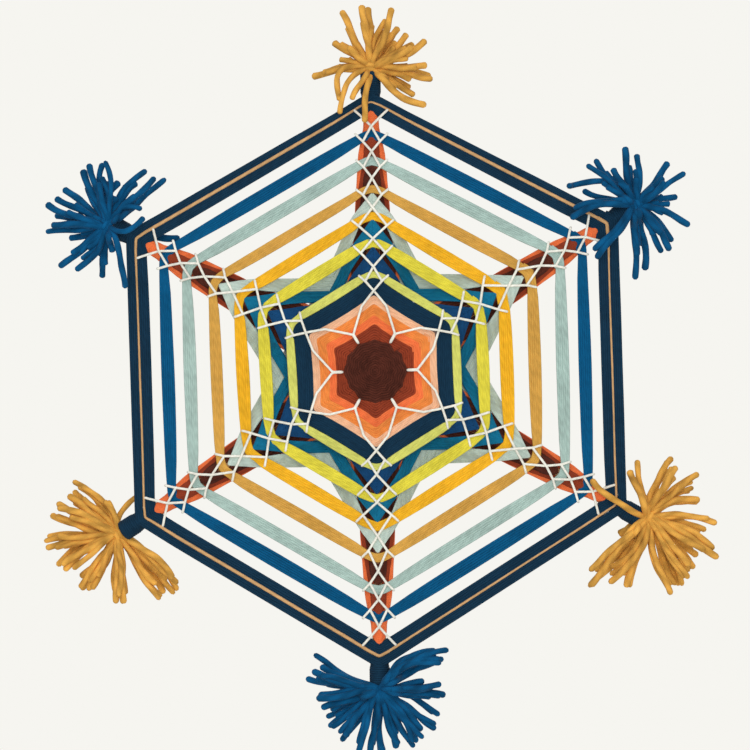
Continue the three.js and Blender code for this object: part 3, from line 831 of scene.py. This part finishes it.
# A near strand lies beside each end and a far, shorter one beside most, but an end that points back along
# its arm lies alone.
NEAR_SPREAD = 5.0
FAR_SPREAD = 9.0
FAR_SHORTER = 0.12
FAR_CHANCE = 0.75
ALONE_COSINE = -0.6
LOOSE_BOW = 4
LOOSE_TILT = 0.16
LOOSE_THICKNESS = 0.14
# The points of a loose end, its small wave, how its tilt eases off, and its deepest level.
END_SHARES = (0.0, 0.1, 0.25, 0.45, 0.65, 0.83, 0.95, 1.0)
END_WAVE = 0.022
END_WAVES = 7
END_EASE = (1.15, 0.3)
END_DEEPEST = -7.4
BEHIND_DEPTH = -5.8
RISE_RATE = 5
END_STEP = 1.8
MOST_PHASE = 6.0
MOST_SHIFT = 400.0
# Its thickness at the knot and how fast it fills out, its unevenness, and the rounding of its cut end.
KNOT_THIN = 0.78
FILL_RATE = 6
UNEVEN = 0.05
UNEVEN_WAVES = 19.0
CUT_FROM = 0.965
CUT_LENGTH = 0.035
CUT_THIN = 0.55
# Where a loose end has to stand off: over the rim, and over its own wrapped arm end.
RIM_EDGE = 129.0
RIM_CLEARANCE = 8.6
STUB_HALF = 6.0
STUB_CLEARANCE = 6.4
STUB_SHORTER = 1.0
NO_CLEARANCE = -9.0


def fray(share, phase):
    """Thin at the knot, a little uneven along its length and rounded at its cut end."""
    filled = KNOT_THIN + (1.0 - KNOT_THIN) * min(1.0, share * FILL_RATE)
    blunt = 1.0 - CUT_THIN * max(0.0, (share - CUT_FROM) / CUT_LENGTH) ** 2
    return filled * blunt * (1.0 + UNEVEN * math.sin(UNEVEN_WAVES * share + phase))


def clearance(along, across, stub_end):
    """How far a loose end stands off where it passes over the rim or over its own wrapped arm end."""
    if along < RIM_EDGE - SLOPE * abs(across):
        return RIM_CLEARANCE
    if along < stub_end and abs(across) < STUB_HALF:
        return STUB_CLEARANCE
    return NO_CLEARANCE


def coil_path(arm):
    points = COIL_TURNS * COIL_STEPS
    path = []
    for count in range(points + 1):
        turn = count * math.pi * 2 / COIL_STEPS
        along = KNOTS[arm] - COIL_LENGTH / 2 + COIL_LENGTH * count / points
        across = KNOT_SIDES[arm] + COIL_RADIUS * math.sin(turn)
        depth = KNOT_DEPTHS[arm] - COIL_BACK + COIL_RADIUS * math.cos(turn)
        path.append(plane_point(ANGLES[arm], along, across, depth))
    return path


def loose_ends(arm):
    """The loose ends of one tuft and the strands beside them, each with its tilt."""
    ends = [(end, TILTS[i % len(TILTS)]) for i, end in enumerate(TUFT_ENDS[arm])]
    for end, tilt in list(ends):
        if math.cos(math.radians(end[0] - ANGLES[arm])) < ALONE_COSINE:
            continue
        for spread, shortest in ((NEAR_SPREAD, BESIDE[arm]), (FAR_SPREAD, BESIDE[arm] - FAR_SHORTER)):
            if spread == NEAR_SPREAD or chance.random() < FAR_CHANCE:
                length = end[1] * chance.uniform(shortest, shortest + BESIDE_RANGE)
                beside = (end[0] + jitter(spread), length, end[2] + jitter(LOOSE_BOW)) + end[3:]
                ends.append((beside, tilt + jitter(LOOSE_TILT)))
    return ends


def end_path(arm, end, tilt, phase):
    """One loose end, from the knot outwards."""
    degrees, length, bow = end[:3]
    behind = len(end) > 3
    level = KNOT_DEPTHS[arm]
    knot = plane_point(ANGLES[arm], KNOTS[arm], KNOT_SIDES[arm], 0.0)
    out = plane_point(ANGLES[arm], 1.0, 0.0, STICK_PLANE)
    aside = plane_point(ANGLES[arm], 0.0, 1.0, STICK_PLANE)
    aim = plane_point(degrees, 1.0, 0.0, STICK_PLANE)
    side = plane_point(degrees, 0.0, 1.0, STICK_PLANE)
    path = []
    for share in END_SHARES:
        sway = 4 * share * (1 - share) * bow / 100 + END_WAVE * math.sin(END_WAVES * share + phase)
        away = aim * length * share + side * length * sway
        risen = min(1.0, share * RISE_RATE)
        depth = max(END_DEEPEST, level + tilt * length * share * (END_EASE[0] - END_EASE[1] * share))
        if behind:
            depth = level + (BEHIND_DEPTH - level) * risen
        elif level > 0.0:
            along = (KNOTS[arm] + away @ out) / OUTER_REACH[arm]
            lift = clearance(along, KNOT_SIDES[arm] + away @ aside, KNOTS[arm] - STUB_SHORTER)
            depth = max(depth, level + lift * risen)
        path.append(knot + away + np.array((0.0, -depth, 0.0)))
    return smooth(path, END_STEP)


for arm_index, arm_name in enumerate(ARMS):
    tuft = Strands()
    tuft.add(coil_path(arm_index), TUFT_YARN / 2, sides=ROUND_SIDES)
    for loose_end, end_tilt in loose_ends(arm_index):
        end_phase = chance.uniform(0.0, MOST_PHASE)
        strand = end_path(arm_index, loose_end, end_tilt, end_phase)
        tuft.add(strand, TUFT_YARN / 2 * (1 + jitter(LOOSE_THICKNESS)), sides=ROUND_SIDES,
                 taper=lambda share: fray(share, end_phase), start=MOST_SHIFT * chance.random())
    tuft_colour = "tuft_gold" if arm_index % 2 else "tuft_blue"
    tuft.piece("tuft_yarn_" + arm_name, tuft_colour, tuft_colour, "tuft_" + arm_name)

# Sticks keep their own shape.
for way in STICKS:
    stick_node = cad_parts["stick_" + way]
    stick_node.data.materials.clear()
    stick_node.data.materials.append(MATERIALS["wood"])

# Floor, light and camera, in metres. A lamp has a name, a place, a size and a power, and aims at the hub.
WORLD_LIGHT = 0.5
LAMPS = [
    ("key", (-0.35, -1.35, 1.2), 1.5, 8.0),
    ("fill", (0.1, -1.9, 0.12), 0.8, 12.6),
    ("back", (0.3, 1.4, 1.5), 1.2, 10.0),
]
FLOOR_SIDE = 0.7
FLOOR_BACK = 0.28
FLOOR_LEVEL = -0.2
FLOOR_GLOW = 0.02
# The photograph's 750 pixels span 330 mm at the depth of the front yarn, with the hub 4 pixels above the
# middle.
FRAME_WIDTH = 0.33
CAMERA_HEIGHT = -0.00176
DISTANCE = 1.7
SUBJECT_DEPTH = -0.0147
SENSOR = 36.0


def pale_world():
    """Soft even light, with a pale background where the camera, gloss or glass sees it."""
    world = bpy.data.worlds.new("studio")
    bpy.context.scene.world = world
    world.use_nodes = True
    nodes = world.node_tree.nodes
    links = world.node_tree.links
    nodes.clear()
    output = nodes.new("ShaderNodeOutputWorld")
    light = nodes.new("ShaderNodeBackground")
    light.inputs["Color"].default_value = WHITE
    light.inputs["Strength"].default_value = WORLD_LIGHT
    seen = nodes.new("ShaderNodeBackground")
    seen.inputs["Color"].default_value = rgba(BACKGROUND)
    seen.inputs["Strength"].default_value = 1.0
    path = nodes.new("ShaderNodeLightPath")
    either = nodes.new("ShaderNodeMath")
    either.operation = "MAXIMUM"
    links.new(path.outputs["Is Camera Ray"], either.inputs[0])
    links.new(path.outputs["Is Glossy Ray"], either.inputs[1])
    every = nodes.new("ShaderNodeMath")
    every.operation = "MAXIMUM"
    links.new(either.outputs["Value"], every.inputs[0])
    links.new(path.outputs["Is Transmission Ray"], every.inputs[1])
    mix = nodes.new("ShaderNodeMixShader")
    links.new(every.outputs["Value"], mix.inputs["Fac"])
    links.new(light.outputs["Background"], mix.inputs[1])
    links.new(seen.outputs["Background"], mix.inputs[2])
    links.new(mix.outputs["Shader"], output.inputs["Surface"])


pale_world()
for lamp_name, lamp_place, lamp_size, lamp_power in LAMPS:
    lamp_data = bpy.data.lights.new(lamp_name, "AREA")
    lamp_data.size = lamp_size
    lamp_data.energy = lamp_power
    lamp = bpy.data.objects.new(lamp_name, lamp_data)
    lamp.location = lamp_place
    lamp.rotation_euler = (-Vector(lamp_place)).to_track_quat("-Z", "Y").to_euler()
    bpy.context.scene.collection.objects.link(lamp)

floor_corners = [
    (-FLOOR_SIDE, -FLOOR_SIDE, FLOOR_LEVEL),
    (FLOOR_SIDE, -FLOOR_SIDE, FLOOR_LEVEL),
    (FLOOR_SIDE, FLOOR_BACK, FLOOR_LEVEL),
    (-FLOOR_SIDE, FLOOR_BACK, FLOOR_LEVEL),
]
floor_mesh = bpy.data.meshes.new("floor")
floor_mesh.from_pydata(floor_corners, [], [(0, 1, 2, 3)])
floor = bpy.data.objects.new("floor", floor_mesh)
bpy.context.scene.collection.objects.link(floor)
floor_material, _, floor_shader = start_material("floor", roughness=0.9)
floor_shader.inputs["Base Color"].default_value = rgba(FLOOR_COLOUR)
floor_shader.inputs["Emission Color"].default_value = WHITE
floor_shader.inputs["Emission Strength"].default_value = FLOOR_GLOW
floor_mesh.materials.append(floor_material)

camera_data = bpy.data.cameras.new("camera")
camera_data.sensor_width = SENSOR
camera_data.lens = SENSOR * DISTANCE / FRAME_WIDTH
camera = bpy.data.objects.new("camera", camera_data)
camera.location = (0.0, SUBJECT_DEPTH - DISTANCE, CAMERA_HEIGHT)
camera.rotation_euler = (math.radians(90.0), 0.0, 0.0)
bpy.context.scene.collection.objects.link(camera)
bpy.context.scene.camera = camera
bpy.context.scene.view_settings.view_transform = "Standard"

bpy.context.view_layer.update()
